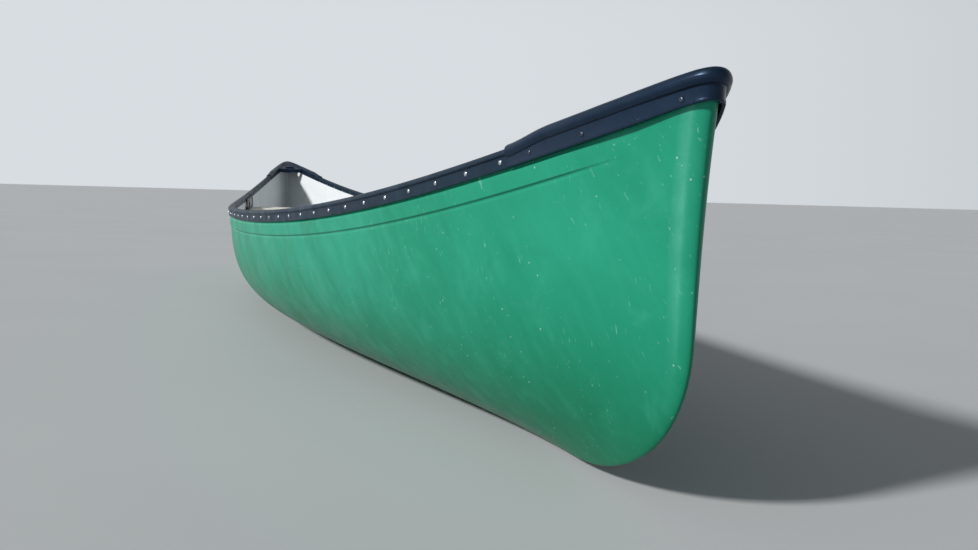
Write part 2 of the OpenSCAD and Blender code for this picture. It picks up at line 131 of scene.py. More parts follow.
def make_object(name, points, faces, material, sharp=35):
    """A mesh object whose faces are smooth, apart from edges sharper than the angle."""
    mesh = bpy.data.meshes.new(name)
    mesh.from_pydata([tuple(p) for p in points], [], faces)
    mesh.validate()
    mesh.shade_smooth()
    mesh.set_sharp_from_angle(angle=math.radians(sharp))
    mesh.materials.append(material)
    made = bpy.data.objects.new(name, mesh)
    bpy.context.scene.collection.objects.link(made)
    return made


def mirrored(points, faces, axis):
    """The same solid on the other side of a plane through the origin."""
    flipped = np.array(points, float)
    flipped[:, axis] *= -1
    return flipped, [tuple(reversed(face)) for face in faces]


def joined(solids):
    """Several (points, faces) as one."""
    points, faces, start = [], [], 0
    for some_points, some_faces in solids:
        points.append(np.asarray(some_points, float))
        faces += [tuple(start + i for i in face) for face in some_faces]
        start += len(some_points)
    return np.concatenate(points), faces


def bar(rings):
    """A solid bar through rings of points that turn clockwise when looking along it."""
    m, n = rings.shape[:2]
    faces = [(i * n + j, i * n + (j + 1) % n, (i + 1) * n + (j + 1) % n, (i + 1) * n + j)
             for i in range(m - 1) for j in range(n)]
    faces.append(tuple(range(n - 1, -1, -1)))
    faces.append(tuple((m - 1) * n + j for j in range(n)))
    return rings.reshape(-1, 3), faces


def rounded(corners, radius, steps=4):
    """A closed outline with its corners rounded, as far as its edges have room."""
    corners = np.asarray(corners, float)
    radii = np.broadcast_to(radius, len(corners))
    made = []
    for k, corner in enumerate(corners):
        before, after = corners[k - 1] - corner, corners[(k + 1) % len(corners)] - corner
        len_before, len_after = np.linalg.norm(before), np.linalg.norm(after)
        before, after = before / len_before, after / len_after
        half = math.acos(np.clip(before @ after, -1, 1)) / 2
        reach = max(radii[k] / math.tan(half), 0.1 * MM)
        reach = min(reach, 0.48 * len_before, 0.48 * len_after)
        start, end = corner + before * reach, corner + after * reach
        for t in np.linspace(0, 1, steps + 1):
            made.append((1 - t) ** 2 * start + 2 * t * (1 - t) * corner + t * t * end)
    return np.array(made)


def path_normals(path):
    """Mitred outward normals in plan of a path that keeps the hull on its left."""
    steps = np.diff(path[:, :2], axis=0)
    steps /= np.linalg.norm(steps, axis=1)[:, None]
    before = np.vstack([steps[:1], steps])
    after = np.vstack([steps, steps[-1:]])
    middle = before + after
    middle /= np.linalg.norm(middle, axis=1)[:, None]
    normals = np.stack([middle[:, 1], -middle[:, 0]], axis=1)
    return normals / (middle * before).sum(axis=1)[:, None]


def sweep(path, sections):
    """Rings of [outward, up] sections along a path."""
    normals = path_normals(path)
    rings = []
    for place, normal, section in zip(path, normals, sections):
        ring = np.empty((len(section), 3))
        ring[:, :2] = place[:2] + normal * section[:, :1]
        ring[:, 2] = place[2] + section[:, 1]
        rings.append(ring)
    return np.array(rings)


def sheer_path(us, side=-1):
    """Points of one side's sheer line."""
    us = np.asarray(us, float)
    return np.stack([us * HALF_LENGTH, side * beam_at(us), sheer_at(us)], axis=1)


def boolean(target, other, operation):
    """Cuts or joins two mesh objects, and removes the second."""
    modifier = target.modifiers.new("boolean", "BOOLEAN")
    modifier.operation = operation
    modifier.solver = "EXACT"
    modifier.object = other
    graph = bpy.context.evaluated_depsgraph_get()
    made = bpy.data.meshes.new_from_object(target.evaluated_get(graph))
    target.modifiers.clear()
    target.data = made
    bpy.data.objects.remove(other)
    made.shade_smooth()
    made.set_sharp_from_angle(angle=math.radians(35))


def stand_for(piece, slot, *nodes):
    """The piece rides on the canoe and replaces these CAD nodes."""
    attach(piece, "root")
    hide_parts(*nodes)


def curve_through(xs, ys, x):
    """The height at x of a smooth cubic curve through points."""
    xs, ys = np.array(xs, float), np.array(ys, float)
    slopes = np.gradient(ys, xs)
    k = int(np.clip(np.searchsorted(xs, x) - 1, 0, len(xs) - 2))
    span = xs[k + 1] - xs[k]
    t = (x - xs[k]) / span
    return ((2 * t ** 3 - 3 * t ** 2 + 1) * ys[k] + (t ** 3 - 2 * t ** 2 + t) * span * slopes[k]
            + (-2 * t ** 3 + 3 * t ** 2) * ys[k + 1] + (t ** 3 - t ** 2) * span * slopes[k + 1])


def soft_max(a, b, blend):
    """The larger of two values, with the corner between them rounded."""
    return (a + b + math.sqrt((a - b) ** 2 + blend ** 2)) / 2


# ---- Materials ----

def srgb(red, green, blue):
    """A colour given as 0 to 255, as linear light with alpha 1."""
    def linear(value):
        value /= 255
        return value / 12.92 if value <= 0.04045 else ((value + 0.055) / 1.055) ** 2.4
    return (linear(red), linear(green), linear(blue), 1.0)


class Look:
    """A node material under construction. Values and sockets can both be given as inputs."""

    def __init__(self, name):
        self.material = bpy.data.materials.new(name)
        self.material.use_nodes = True
        self.tree = self.material.node_tree
        self.tree.nodes.clear()
        self.place = self.add("ShaderNodeTexCoord").outputs["Object"]

    def add(self, kind, inputs=None, **settings):
        made = self.tree.nodes.new(kind)
        for name, value in settings.items():
            setattr(made, name, value)
        for name, value in (inputs or {}).items():
            if isinstance(value, bpy.types.NodeSocket):
                self.tree.links.new(value, made.inputs[name])
            else:
                made.inputs[name].default_value = value
        return made

    def stretched(self, scale, turn=(0, 0, 0)):
        """The object's coordinates, turned and then scaled."""
        turned = self.add("ShaderNodeMapping", {"Vector": self.place, "Rotation": turn})
        return self.add("ShaderNodeMapping", {"Vector": turned.outputs[0], "Scale": scale}).outputs[0]

    def noise(self, scale, detail=3.0, rough=0.5, place=None, distortion=0.0):
        inputs = {"Vector": place or self.place, "Scale": scale, "Detail": detail, "Roughness": rough,
                  "Distortion": distortion}
        return self.add("ShaderNodeTexNoise", inputs).outputs["Fac"]

    def cells(self, scale, place=None, feature="F1", output="Distance"):
        inputs = {"Vector": place or self.place, "Scale": scale}
        return self.add("ShaderNodeTexVoronoi", inputs, feature=feature).outputs[output]

    def ramp(self, value, low, high, out_low=0.0, out_high=1.0):
        inputs = {"Value": value, "From Min": low, "From Max": high, "To Min": out_low, "To Max": out_high}
        return self.add("ShaderNodeMapRange", inputs, interpolation_type="SMOOTHSTEP").outputs[0]

    def maths(self, operation, a, b):
        made = self.add("ShaderNodeMath", operation=operation)
        for socket, value in zip(made.inputs, (a, b)):
            if isinstance(value, bpy.types.NodeSocket):
                self.tree.links.new(value, socket)
            else:
                socket.default_value = value
        return made.outputs[0]

    def mix(self, share, a, b, blend="MIX"):
        inputs = {0: share, 6: a, 7: b}
        return self.add("ShaderNodeMix", inputs, data_type="RGBA", blend_type=blend).outputs[2]

    def part_of_place(self, axis):
        return self.add("ShaderNodeSeparateXYZ", {"Vector": self.place}).outputs[axis]

    def bump(self, height, distance, strength=1.0, normal=None):
        inputs = {"Height": height, "Distance": distance, "Strength": strength}
        if normal is not None:
            inputs["Normal"] = normal
        return self.add("ShaderNodeBump", inputs).outputs[0]

    def scratches(self, turn, across, along_it, level, cover):
        """Thin straight marks: a stretched noise above a level, broken up by a broad one."""
        lines = self.noise(1.0, 2.0, 0.6, self.stretched((across, across, along_it), (0, turn, 0)))
        broken = self.noise(7.0, 2.0, 0.5, self.stretched((1, 1, 1), (0.3, turn, 0.7)))
        return self.maths("MULTIPLY", self.ramp(lines, level, level + 0.05),
                          self.ramp(broken, cover, cover + 0.12))

    def finish(self, colour, roughness, normal=None, **more):
        inputs = {"Base Color": colour, "Roughness": roughness, **more}
        if normal is not None:
            inputs["Normal"] = normal
        shader = self.add("ShaderNodeBsdfPrincipled", inputs)
        self.add("ShaderNodeOutputMaterial", {"Surface": shader.outputs[0]})
        return self.material


def hull_plastic():
    """Moulded green plastic: uneven colour, painted shade darkening the bottom, streaks, scratches, specks
    and a painted highlight on the stems' shoulders.
    """
    look = Look("hull_green")
    height = look.part_of_place("Z")
    broad = look.noise(2.2, 4.0, 0.55)
    colour = look.mix(look.ramp(broad, 0.35, 0.68), srgb(30, 135, 105), srgb(40, 148, 120))
    # Painted shade: the colour darkens towards the bottom of the hull.
    colour = look.mix(look.ramp(height, 0.0, 0.38, 0.7, 0.0), colour, srgb(0, 84, 49))
    lean = (0, math.radians(38), 0)
    amidships = look.ramp(look.maths("ABSOLUTE", look.part_of_place("X"), 0.0), 2.3, 1.3, 0.35, 1.0)
    streaks = look.noise(1.0, 4.0, 0.62, look.stretched((30, 30, 3.2), lean))
    streaks = look.maths("MULTIPLY", amidships, look.ramp(streaks, 0.42, 0.74, 0.0, 0.22))
    colour = look.mix(streaks, colour, srgb(69, 174, 147))
    shade = look.noise(1.0, 3.0, 0.55, look.stretched((9, 9, 1.8), lean))
    shade = look.maths("MULTIPLY", amidships, look.ramp(shade, 0.56, 0.36, 0.0, 0.36))
    colour = look.mix(shade, colour, srgb(3, 107, 75))
    clouds = look.noise(9.0, 5.0, 0.6, distortion=0.6)
    colour = look.mix(look.ramp(clouds, 0.54, 0.74, 0.0, 0.16), colour, srgb(75, 170, 142))
    # Painted highlight: a pale band on the upper shoulders of the stems.
    paler = look.add("ShaderNodeAttribute", attribute_name="stem_painted_highlight").outputs["Fac"]
    stem_highlight = look.maths("MULTIPLY", paler, look.ramp(look.noise(34.0, 4.0, 0.65), 0.36, 0.66, 0.35, 0.6))
    stem_highlight = look.maths("MULTIPLY", stem_highlight, look.ramp(height, 0.16, 0.4))
    colour = look.mix(stem_highlight, colour, srgb(94, 174, 154))
    upright = look.scratches(math.radians(14), 210, 3.0, 0.665, 0.5)
    leaning = look.scratches(math.radians(42), 170, 3.5, 0.68, 0.5)
    level = look.scratches(math.radians(82), 150, 2.5, 0.69, 0.55)
    marks = look.maths("MAXIMUM", look.maths("MAXIMUM", upright, leaning), level)
    colour = look.mix(look.maths("MULTIPLY", marks, 0.34), colour, srgb(135, 194, 175))
    spots = look.cells(46)
    chance = look.noise(21.0, 1.0, 0.4)
    specks = look.maths("MULTIPLY", look.ramp(spots, 0.10, 0.05), look.ramp(chance, 0.52, 0.62))
    colour = look.mix(look.maths("MULTIPLY", specks, 0.6), colour, srgb(159, 205, 188))
    roughened = look.maths("MULTIPLY", marks, 0.2)
    roughness = look.maths("ADD", look.ramp(clouds, 0.3, 0.75, 0.30, 0.42), roughened)
    normal = look.bump(look.noise(26.0, 2.0, 0.5), 0.5 * MM, 0.5)
    normal = look.bump(look.noise(420.0, 2.0, 0.6), 0.05 * MM, 0.4, normal)
    normal = look.bump(marks, -0.12 * MM, 0.6, normal)
    return look.finish(colour, roughness, normal, **{"Specular IOR Level": 0.1})


def dark_plastic(name, base, paler, low_rough, high_rough):
    """Black-blue vinyl or moulded plastic with scuffs, dust and a fine grain."""
    look = Look(name)
    broad = look.noise(11.0, 4.0, 0.6)
    colour = look.mix(look.ramp(broad, 0.35, 0.7, 0.0, 0.5), base, paler)
    scuffs = look.noise(60.0, 5.0, 0.7, look.stretched((1.0, 1.6, 2.4)), 1.2)
    patches = look.noise(8.0, 2.0, 0.5)
    marks = look.maths("MULTIPLY", look.ramp(scuffs, 0.62, 0.70), look.ramp(patches, 0.5, 0.66))
    colour = look.mix(look.maths("MULTIPLY", marks, 0.4), colour, srgb(112, 126, 142))
    dust = look.ramp(look.noise(300.0, 3.0, 0.7), 0.64, 0.76, 0.0, 0.12)
    colour = look.mix(dust, colour, srgb(124, 136, 150))
    roughness = look.ramp(look.noise(24.0, 4.0, 0.6), 0.3, 0.72, low_rough, high_rough)
    normal = look.bump(look.noise(22.0, 2.0, 0.5), 0.5 * MM, 0.2)
    normal = look.bump(look.noise(900.0, 2.0, 0.6), 0.06 * MM, 0.5, normal)
    normal = look.bump(marks, -0.15 * MM, 0.6, normal)
    sheen = {"Specular IOR Level": 0.42, "Specular Tint": srgb(176, 206, 255)}
    return look.finish(colour, roughness, normal, **sheen)


def liner_plastic():
    """Off-white inner skin with a pebbled face, scuffs and dirt towards the bottom."""
    look = Look("liner_white")
    height = look.part_of_place("Z")
    dirt = look.noise(6.0, 5.0, 0.65)
    colour = look.mix(look.ramp(dirt, 0.35, 0.75, 0.0, 0.5), srgb(226, 231, 234), srgb(206, 212, 216))
    low = look.maths("MULTIPLY", look.ramp(height, 0.0, 0.2, 1.0, 0.0), look.ramp(dirt, 0.42, 0.72))
    colour = look.mix(look.maths("MULTIPLY", low, 0.5), colour, srgb(140, 132, 114))
    marks = look.maths("MAXIMUM", look.scratches(math.radians(70), 120, 3.0, 0.67, 0.5),
                       look.scratches(math.radians(20), 130, 3.0, 0.69, 0.5))
    colour = look.mix(look.maths("MULTIPLY", marks, 0.35), colour, srgb(120, 124, 126))
    normal = look.bump(look.cells(260.0), 0.15 * MM, 0.35)
    normal = look.bump(look.noise(14.0, 3.0, 0.5), 0.8 * MM, 0.4, normal)
    return look.finish(colour, look.ramp(dirt, 0.3, 0.7, 0.42, 0.58), normal)


def seat_plastic():
    """Cream-white moulded seat plastic with a pebbled face and smeared dirt."""
    look = Look("seat_white")
    dirt = look.noise(9.0, 5.0, 0.65)
    colour = look.mix(look.ramp(dirt, 0.35, 0.72), srgb(236, 236, 228), srgb(214, 213, 202))
    specks = look.ramp(look.noise(160.0, 3.0, 0.7), 0.66, 0.76, 0.0, 0.4)
    colour = look.mix(specks, colour, srgb(150, 146, 134))
    normal = look.bump(look.cells(420.0), 0.18 * MM, 0.5)
    normal = look.bump(look.noise(40.0, 3.0, 0.5), 0.3 * MM, 0.4, normal)
    return look.finish(colour, look.ramp(dirt, 0.3, 0.7, 0.40, 0.55), normal)


def foam():
    """Cut closed-cell foam."""
    look = Look("foam_core")
    pores = look.cells(900.0)
    colour = look.mix(look.ramp(pores, 0.1, 0.6), srgb(168, 150, 104), srgb(222, 208, 160))
    return look.finish(colour, 0.9, look.bump(pores, 0.3 * MM, 0.6))


def bare_metal(name, base, roughness, grain):
    """Aluminium or steel with a fine directional grain, small dents and dull spots."""
    look = Look(name)
    lines = look.noise(1.0, 3.0, 0.6, look.stretched(grain))
    spots = look.noise(140.0, 4.0, 0.6)
    colour = look.mix(look.ramp(spots, 0.5, 0.75, 0.0, 0.35), base, srgb(132, 138, 146))
    rough = look.maths("ADD", look.ramp(lines, 0.3, 0.7, roughness - 0.08, roughness + 0.08),
                       look.ramp(spots, 0.5, 0.8, 0.0, 0.12))
    normal = look.bump(lines, 0.04 * MM, 0.4)
    return look.finish(colour, rough, normal, Metallic=1.0)


def powder_coat():
    """Black powder coat with its fine orange peel and a few chips."""
    look = Look("black_powder_coat")
    peel = look.noise(700.0, 2.0, 0.5)
    chips = look.ramp(look.noise(90.0, 4.0, 0.7), 0.71, 0.73)
    colour = look.mix(chips, srgb(30, 32, 36), srgb(110, 112, 116))
    return look.finish(colour, look.ramp(peel, 0.3, 0.7, 0.38, 0.5), look.bump(peel, 0.1 * MM, 0.5))


def ash_wood():
    """Oiled ash: growth rings along Y, pores and a thin varnish."""
    look = Look("oiled_ash")
    bend = look.noise(3.0, 2.0, 0.5, look.stretched((1, 0.3, 1)))
    moved = look.add("ShaderNodeVectorMath", {0: look.stretched((1, 0.03, 1), (0.1, 0, 0.35)), 1: bend},
                     operation="ADD").outputs[0]
    rings = look.add("ShaderNodeTexWave", {"Vector": moved, "Scale": 26.0, "Distortion": 3.0, "Detail": 2.0,
                                           "Detail Scale": 1.5}, wave_type="BANDS").outputs["Fac"]
    colour = look.mix(look.ramp(rings, 0.15, 0.9), srgb(196, 150, 98), srgb(150, 102, 58))
    pores = look.noise(1.0, 3.0, 0.7, look.stretched((900, 40, 900)))
    colour = look.mix(look.ramp(pores, 0.58, 0.72, 0.0, 0.55), colour, srgb(96, 62, 34))
    normal = look.bump(look.maths("ADD", pores, rings), 0.12 * MM, 0.35)
    return look.finish(colour, 0.42, normal, **{"Coat Weight": 0.35, "Coat Roughness": 0.25})


def pale_floor():
    """Plain pale studio floor."""
    look = Look("studio_floor")
    broad = look.noise(0.8, 3.0, 0.5)
    colour = look.mix(look.ramp(broad, 0.3, 0.7), srgb(181, 184, 187), srgb(184, 187, 190))
    return look.finish(colour, 0.75, look.bump(look.noise(180.0, 2.0, 0.5), 0.2 * MM, 0.2))


GREEN = hull_plastic()
FOAM = foam()
LINER = liner_plastic()
VINYL = dark_plastic("gunwale_vinyl", srgb(10, 29, 42), srgb(22, 44, 60), 0.38, 0.56)
DECK = dark_plastic("deck_plastic", srgb(13, 28, 45), srgb(26, 43, 61), 0.26, 0.42)
ALUMINIUM = bare_metal("aluminium_strip", srgb(196, 199, 204), 0.38, (4, 300, 300))
# The deck caps' rivets get a darker aluminium colour than the gunwales' rivets.
DARK_RIVET = bare_metal("rivet_darker", srgb(74, 82, 94), 0.42, (220, 220, 220))
RIVET = bare_metal("rivet_aluminium", srgb(200, 205, 212), 0.28, (220, 220, 220))
STEEL = bare_metal("stainless_steel", srgb(206, 209, 214), 0.28, (90, 260, 260))
SEAT = seat_plastic()
POWDER = powder_coat()
ASH = ash_wood()

# ---- Hull ----

# The topside's band stands proud between a soft crease and the gunwale's skirt, and fades at the ends.
BAND_PROUD = 3.2 * MM
CREASE_DROP = 71 * MM
GROOVE_DEPTH = 1.2 * MM
BAND_FULL = 0.89
BAND_END = 0.955

# Rows of points: evenly eased below the crease, and then at these drops below the sheer.
ROWS_BELOW = 46
DROPS_ABOVE = [drop * MM for drop in (84, 80, 78, 76.5, 75.5, 74.5, 73.5, 72.7, 72, 71.3, 70.6, 70, 69, 67,
                                      63, 58, 52, 47, 43, 41, 39, 37, 35, 32, 26, 18, 8)]

# A painted highlight makes the shoulders of the stems pale, most of all at one station.
HIGHLIGHT_STATION = 0.9915
HIGHLIGHT_SPREAD = 0.0028


def band_at(drop, u):
    """How far the outer skin stands out, at a drop below the sheer."""
    step = smooth(CREASE_DROP + 1.2 * MM, CREASE_DROP - 1.2 * MM, drop)
    under_skirt = smooth(SKIRT_HEIGHT + 1 * MM, SKIRT_HEIGHT + 9 * MM, drop)
    groove = np.exp(-((drop - CREASE_DROP - 3.5 * MM) / (2.2 * MM)) ** 2)
    return (BAND_PROUD * step * under_skirt - GROOVE_DEPTH * groove) * smooth(BAND_END, BAND_FULL, np.abs(u))


def hull_side(us, inset, proud):
    """Points of the starboard side from keel to edge, a row of them for each station."""
    u = us[:, None]
    depth = sheer_at(u) - keel_at(u)
    shares = np.linspace(0, 1, ROWS_BELOW, endpoint=False)
    low = (1 - DROPS_ABOVE[0] / depth) * shares ** 3
    high = 1 - np.array(DROPS_ABOVE)[None, :] / depth
    h = np.hstack([low, high])
    drop = (1 - h) * depth
    x = u * stem_at(h) - np.sign(u) * inset * np.abs(u) ** TAPER_POWER
    y = -beam_at(u, inset) * section_at(h, u)
    if proud:
        y -= band_at(drop, u)
    z = np.maximum(inset, keel_at(u) + inset + (depth - inset) * h)
    return np.stack([x, y, z], axis=2)


def hull_sheet(name, material, inset_out, inset_in, proud=False):
    """One layer of the hull as a closed solid, folded shut on the centre line at both stems."""
    bow = bow_stations(92)
    us = np.concatenate([-bow[:0:-1], bow])
    layers = []
    for inset, stands_out in ((inset_out, proud), (inset_in, False)):
        side = hull_side(us, inset, stands_out)
        other = side[:, :0:-1].copy()
        other[:, :, 1] *= -1
        layers.append(np.hstack([other, side]))
    points = np.concatenate([layer.reshape(-1, 3) for layer in layers])
    count, wide = layers[0].shape[:2]
    half = wide // 2

    def at(layer, i, j):
        folded = half + abs(j - half) if i in (0, count - 1) else j
        return (layer * count + i) * wide + folded

    faces = []
    for i in range(count - 1):
        for j in range(wide - 1):
            out = [at(0, i, j), at(0, i, j + 1), at(0, i + 1, j + 1), at(0, i + 1, j)]
            inner = [at(1, i, j), at(1, i + 1, j), at(1, i + 1, j + 1), at(1, i, j + 1)]
            faces += [out, inner]
        faces.append([at(0, i, 0), at(0, i + 1, 0), at(1, i + 1, 0), at(1, i, 0)])
        last = wide - 1
        faces.append([at(0, i + 1, last), at(0, i, last), at(1, i, last), at(1, i + 1, last)])
    faces = [tuple(dict.fromkeys(face)) for face in faces]
    faces = [face for face in faces if len(face) > 2]
    used = sorted({k for face in faces for k in face})
    renumber = {k: n for n, k in enumerate(used)}
    faces = [tuple(renumber[k] for k in face) for face in faces]
    sheet = make_object(name, points[used], faces, material, 50)
    # Share of the painted highlight on the stems' shoulders, for each station.
    highlight_share = np.exp(-((np.abs(us) - HIGHLIGHT_STATION) / HIGHLIGHT_SPREAD) ** 2)
    attribute = sheet.data.attributes.new("stem_painted_highlight", "FLOAT", "POINT")
    attribute.data.foreach_set("value", np.tile(np.repeat(highlight_share, wide), 2)[used].astype(np.float32))
    return sheet


def make_hull():
    outer = hull_sheet("outer_skin", GREEN, 0.0, OUTER_SKIN, proud=True)
    core = hull_sheet("foam_core", FOAM, OUTER_SKIN, OUTER_SKIN + FOAM_CORE)
    inner = hull_sheet("inner_skin", LINER, OUTER_SKIN + FOAM_CORE, WALL)
    for piece, node, slot in ((outer, "hull_outer_skin", "hull_skin"), (core, "hull_foam_core", "foam"),
                              (inner, "hull_inner_skin", "liner")):
        stand_for(piece, slot, node)


# ---- Gunwales ----

GUNWALE_SECTION = np.array([
    [7, -33.5], [7, -12.5], [10.5, -11.5], [11.3, -8.5], [9.7, -4.4], [7, -1.5], [2.5, -0.2], [-2.5, 0],
    [-7.5, -0.8], [-11, -3.2], [-13, -7.5], [-12.6, -11], [-11, -12.5], [-11, -26], [-7, -26], [-7, -7],
    [3.6, -7], [3.6, -33.5]]) * MM
GUNWALE_FILLETS = np.array([1.2, 0.8, 1.5, 6, 6, 6, 8, 8, 6, 6, 4, 1.5, 0.8, 1.2, 1.2, 0.8, 0.8, 0.8]) * MM
STIFFENER_SECTION = np.array([[0.3, -31.5], [3.3, -31.5], [3.3, -8], [0.3, -8]]) * MM


def gunwale_bar(section):
    bow = bow_stations(110, turn=GUNWALE_END / HALF_LENGTH, nose_count=0)
    path = sheer_path(np.concatenate([-bow[:0:-1], bow]))
    return bar(sweep(path, [section] * len(path)))


def make_gunwales():
    cap = gunwale_bar(rounded(GUNWALE_SECTION, GUNWALE_FILLETS))
    strip = gunwale_bar(rounded(STIFFENER_SECTION, 0.6 * MM, 2))
    for side in ("starboard", "port"):
        if side == "port":
            cap, strip = mirrored(*cap, 1), mirrored(*strip, 1)
        stand_for(make_object(f"{side}_gunwale", *cap, VINYL, 40), "vinyl", f"gunwale_{side}")
        stand_for(make_object(f"{side}_stiffener", *strip, ALUMINIUM, 40), "aluminium",
                  f"gunwale_stiffener_{side}")


# ---- Decks ----

BEAD_HEIGHT = 21 * MM
BEAD_RISE_LENGTH = 0.1
DECK_START = GUNWALE_END + 1 * MM
PLATE_EDGE = 2.262
PLATE_END = 2.4325
PLATE_DEPTH = 9 * MM
PLATE_THICKNESS = 4 * MM
PLATE_LIP = 20 * MM
SLOT_BEHIND_EDGE = 36 * MM
SLOT_RADIUS = 13 * MM
SLOT_HALF = 14 * MM
DECK_SKIRT_OUT = 8.5
DECK_BEAD_OUT = 15.4
DECK_WALL = 3.5
DECK_FILLETS = np.array([1.2, 1.2, 1.5, 1.2, 3.5, 6, 7, 7, 7, 8, 8, 6, 5, 1.5, 0.6, 0.6, 0.6, 0.6, 0.6,
                         0.5, 0.5]) * MM


def bead_top(u):
    """The bead's top above the sheer: it steps up from the gunwale's cap and rises over a short way."""
    rise = np.clip((u - DECK_START / HALF_LENGTH) * HALF_LENGTH / BEAD_RISE_LENGTH, 0, 1)
    return (5 + 7.8 * rise * rise * (3 - 2 * rise)) * MM


def nose_share(u):
    """How far a place is into the nose, 0 to 1."""
    return float(np.clip((u - 0.955) / 0.03, 0, 1))


def skirt_out_at(u):
    """How far the deck's skirt stands out from the hull: less round the nose."""
    return (DECK_SKIRT_OUT - 2.8 * nose_share(u)) * MM


def deck_section(u):
    """Section of bead, skirt, hem and inner leg: narrower round the nose, where the leg folds up."""
    top = float(bead_top(u)) / MM
    low = top - BEAD_HEIGHT / MM
    nose = nose_share(u)
    narrow = max(0.04, min(1.0, 0.6 * float(beam_at(u)) / (13 * MM)))
    hem = 2.5 * nose - SKIRT_HEIGHT / MM
    leg, leg_end = -8 * narrow, -26 + nose * 20
    skirt, bead = skirt_out_at(u) / MM, DECK_BEAD_OUT - 1.5 * nose
    corners = [[skirt + 0.6, hem], [skirt + 0.8, hem + 3.2], [skirt, hem + 4.6], [skirt, low - 1.2],
               [bead - 4, low + 0.2], [bead - 0.5, low + 5.5], [bead, top - 10], [bead - 2.2, top - 4.6],
               [8.2, top - 1.2], [1, top],
               [-5 * narrow, top - 0.8], [-10.5 * narrow, top - 3.5], [-13 * narrow, top - 9],
               [-13 * narrow, -13 + nose * 7.5], [leg - 3 * narrow, leg_end], [leg, leg_end], [leg, -5],
               [skirt - DECK_WALL, -5], [skirt - DECK_WALL, hem + 2], [1.2, hem + 2], [1.2, hem]]
    return rounded(np.array(corners) * MM, DECK_FILLETS, 3)


def deck_rim():
    """Bead and skirt from the starboard gunwale's end round the nose to port."""
    us = bow_stations(46, DECK_START / HALF_LENGTH, 0.985, 20)
    starboard = sheer_path(us)
    port = sheer_path(us[:-1][::-1], 1)
    path = np.vstack([starboard, port])
    return bar(sweep(path, [deck_section(u) for u in np.concatenate([us, us[:-1][::-1]])]))


def plate_ring(x, inset, low, high):
    """A crowned box across the canoe at one station, inside the bead."""
    u = x / HALF_LENGTH
    half = float(beam_at(u)) - inset
    height = float(sheer_at(u) + bead_top(u))
    across = np.linspace(1, -1, 9)
    dip = 1.5 * MM * (1 - across ** 2)
    top = height + high * (1 - 0.85 * nose_share(u)) - dip
    low_row = np.stack([np.full(9, x), across * half, height + low - dip], axis=1)
    high_row = np.stack([np.full(9, x), across[::-1] * half, top[::-1]], axis=1)
    return np.vstack([low_row, high_row])


def deck_plate():
    xs = PLATE_END - (PLATE_END - PLATE_EDGE) * np.linspace(1, 0, 32) ** 1.5
    return bar(np.array([plate_ring(x, min(9 * MM, 0.45 * float(beam_at(x / HALF_LENGTH))),
                                    -PLATE_DEPTH - PLATE_THICKNESS, -PLATE_DEPTH) for x in xs]))


def deck_lip():
    """The plate's turned-down inner edge."""
    xs = PLATE_EDGE + np.array([-0.4, 0, 0.8, 2.6, 3.6, 4.2]) * MM
    lows = -PLATE_DEPTH - PLATE_LIP + np.array([1.6, 0.6, 0, 0, 0.6, 1.6]) * MM
    highs = -PLATE_DEPTH + np.array([-1.6, -0.5, 0.2, 0.2, -0.5, -1.6]) * MM
    return bar(np.array([plate_ring(x, 10 * MM, low, high) for x, low, high in zip(xs, lows, highs)]))


def slot_outline(radius):
    """The hand-hold's outline seen from above, counter-clockwise."""
    turns = np.linspace(0, math.pi, 17)
    half_turn = radius * np.stack([np.cos(turns), np.sin(turns)], axis=1)
    outline = np.vstack([half_turn + [0, SLOT_HALF], -half_turn - [0, SLOT_HALF]])
    return outline + [PLATE_EDGE + SLOT_BEHIND_EDGE, 0]


def slot_cutter():
    outline = slot_outline(SLOT_RADIUS)
    low = np.column_stack([outline, np.full(len(outline), END_HEIGHT - 0.1)])
    high = np.column_stack([outline, np.full(len(outline), END_HEIGHT + 0.06)])
    count = len(outline)
    faces = [(j, (j + 1) % count, count + (j + 1) % count, count + j) for j in range(count)]
    faces += [tuple(range(count - 1, -1, -1)), tuple(range(count, 2 * count))]
    return np.vstack([low, high]), faces


def slot_rim():
    """A rounded lip round the hand-hold."""
    turns = np.linspace(0, 2 * math.pi, 13)[:-1]
    rings = []
    for radius_out, up in zip(SLOT_RADIUS + (1.2 + 2.6 * np.cos(turns)) * MM, 2.4 * np.sin(turns) * MM):
        outline = slot_outline(radius_out)
        u = outline[:, 0] / HALF_LENGTH
        z = sheer_at(u) + bead_top(u) - PLATE_DEPTH - 0.5 * MM + up
        rings.append(np.column_stack([outline, z]))
    rings = np.array(rings)
    m, n = rings.shape[:2]
    faces = [(i * n + j, i * n + (j + 1) % n, (i + 1) % m * n + (j + 1) % n, (i + 1) % m * n + j)
             for i in range(m) for j in range(n)]
    return rings.reshape(-1, 3), faces


def make_decks():
    rim = make_object("bow_deck_cap", *deck_rim(), DECK)
    for part, operation in ((deck_plate, "UNION"), (deck_lip, "UNION"), (slot_cutter, "DIFFERENCE"),
                            (slot_rim, "UNION")):
        boolean(rim, make_object("tool", *part(), DECK), operation)
    mesh = rim.data.copy()
    mesh.transform(Matrix.Scale(-1, 4, (1, 0, 0)))
    mesh.flip_normals()
    stern = bpy.data.objects.new("stern_deck_cap", mesh)
    bpy.context.scene.collection.objects.link(stern)
    stand_for(rim, "deck_plastic", "bow_deck")
    stand_for(stern, "deck_plastic", "stern_deck")


# ---- Rivets ----

RIVET_DROP = 21 * MM
RIVET_COUNT = 40
SKIRT_OUT = 7 * MM
HANGER_GRIP = 16.6 * MM
GUNWALE_GRIP = 11.1 * MM
NOSE_GRIP = 7.2 * MM
BOW_SEAT_X = 0.864
STERN_SEAT_X = -1.290
SEAT_DEPTH = 0.240
BRACKET_HALF = 0.082
DECK_RIVETS = [(2.115, GUNWALE_GRIP), (2.232, GUNWALE_GRIP), (2.402, NOSE_GRIP)]
SHANK_RADIUS = 2.3 * MM
HEAD_RADIUS = 4.4 * MM


